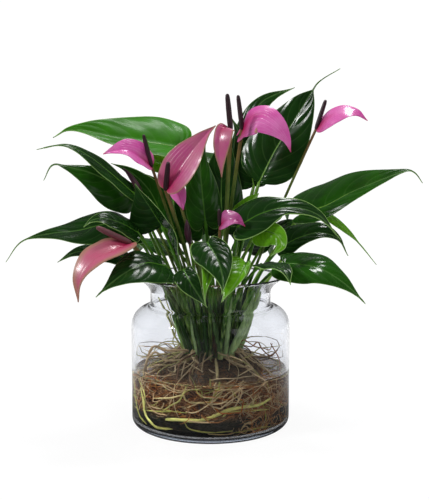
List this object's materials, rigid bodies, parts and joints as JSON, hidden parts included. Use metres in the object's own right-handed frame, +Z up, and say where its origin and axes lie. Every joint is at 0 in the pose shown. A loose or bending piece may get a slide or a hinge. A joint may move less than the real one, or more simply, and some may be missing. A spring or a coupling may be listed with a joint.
{
  "type": "anthurium in glass vase",
  "caption": "Flowering anthurium with glossy arched leaves and pink hooded flowers, growing with bare roots in water in a wide-necked clear glass vase.",
  "frame": {"origin": "centre of the vase's flat base, on the surface it stands on", "axes": "+Z up; -Y out of the front of the plant; +X to the right of someone who looks at the front"},
  "size_m": [0.4811, 0.2864, 0.4256],
  "materials": {
    "glass": "clear blown glass, polished",
    "water": "clear still water",
    "roots": "matte, wet root skin",
    "crown": "matte, rough",
    "leaf": "glossy leaf skin",
    "spathe": "waxy gloss",
    "spadix": "fine grained, matte"
  },
  "bodies": {
    "root": {"vase": "glass", "water": "water", "crown": "crown", "roots": "roots", "leaf_01": "leaf", "leaf_02": "leaf", "leaf_03": "leaf", "leaf_04": "leaf", "leaf_05": "leaf", "leaf_06": "leaf", "leaf_07": "leaf", "leaf_08": "leaf", "leaf_09": "leaf", "leaf_10": "leaf", "leaf_11": "leaf", "leaf_12": "leaf", "leaf_13": "leaf", "leaf_14": "leaf", "leaf_15": "leaf", "leaf_16": "leaf", "leaf_17": "leaf", "leaf_18": "leaf", "leaf_19": "leaf", "leaf_20": "leaf", "leaf_21": "leaf", "leaf_22": "leaf", "leaf_23": "leaf", "leaf_24": "leaf", "leaf_25": "leaf", "leaf_26": "leaf", "leaf_27": "leaf", "leaf_28": "leaf", "leaf_29": "leaf", "leaf_30": "leaf", "leaf_31": "leaf", "leaf_32": "leaf", "leaf_33": "leaf", "leaf_34": "leaf", "leaf_35": "leaf", "leaf_36": "leaf", "leaf_37": "leaf", "leaf_38": "leaf", "spathe_1": "spathe", "spathe_2": "spathe", "spathe_3": "spathe", "spathe_4": "spathe", "spathe_5": "spathe", "spathe_6": "spathe", "spathe_7": "spathe", "spathe_8": "spathe", "flower_stalk_1": "spadix", "flower_stalk_2": "spadix", "flower_stalk_3": "spadix", "flower_stalk_4": "spadix", "flower_stalk_5": "spadix", "flower_stalk_6": "spadix", "flower_stalk_7": "spadix", "flower_stalk_8": "spadix", "flower_bud_1": "spadix", "flower_bud_2": "spadix"}
  },
  "joints": []
}
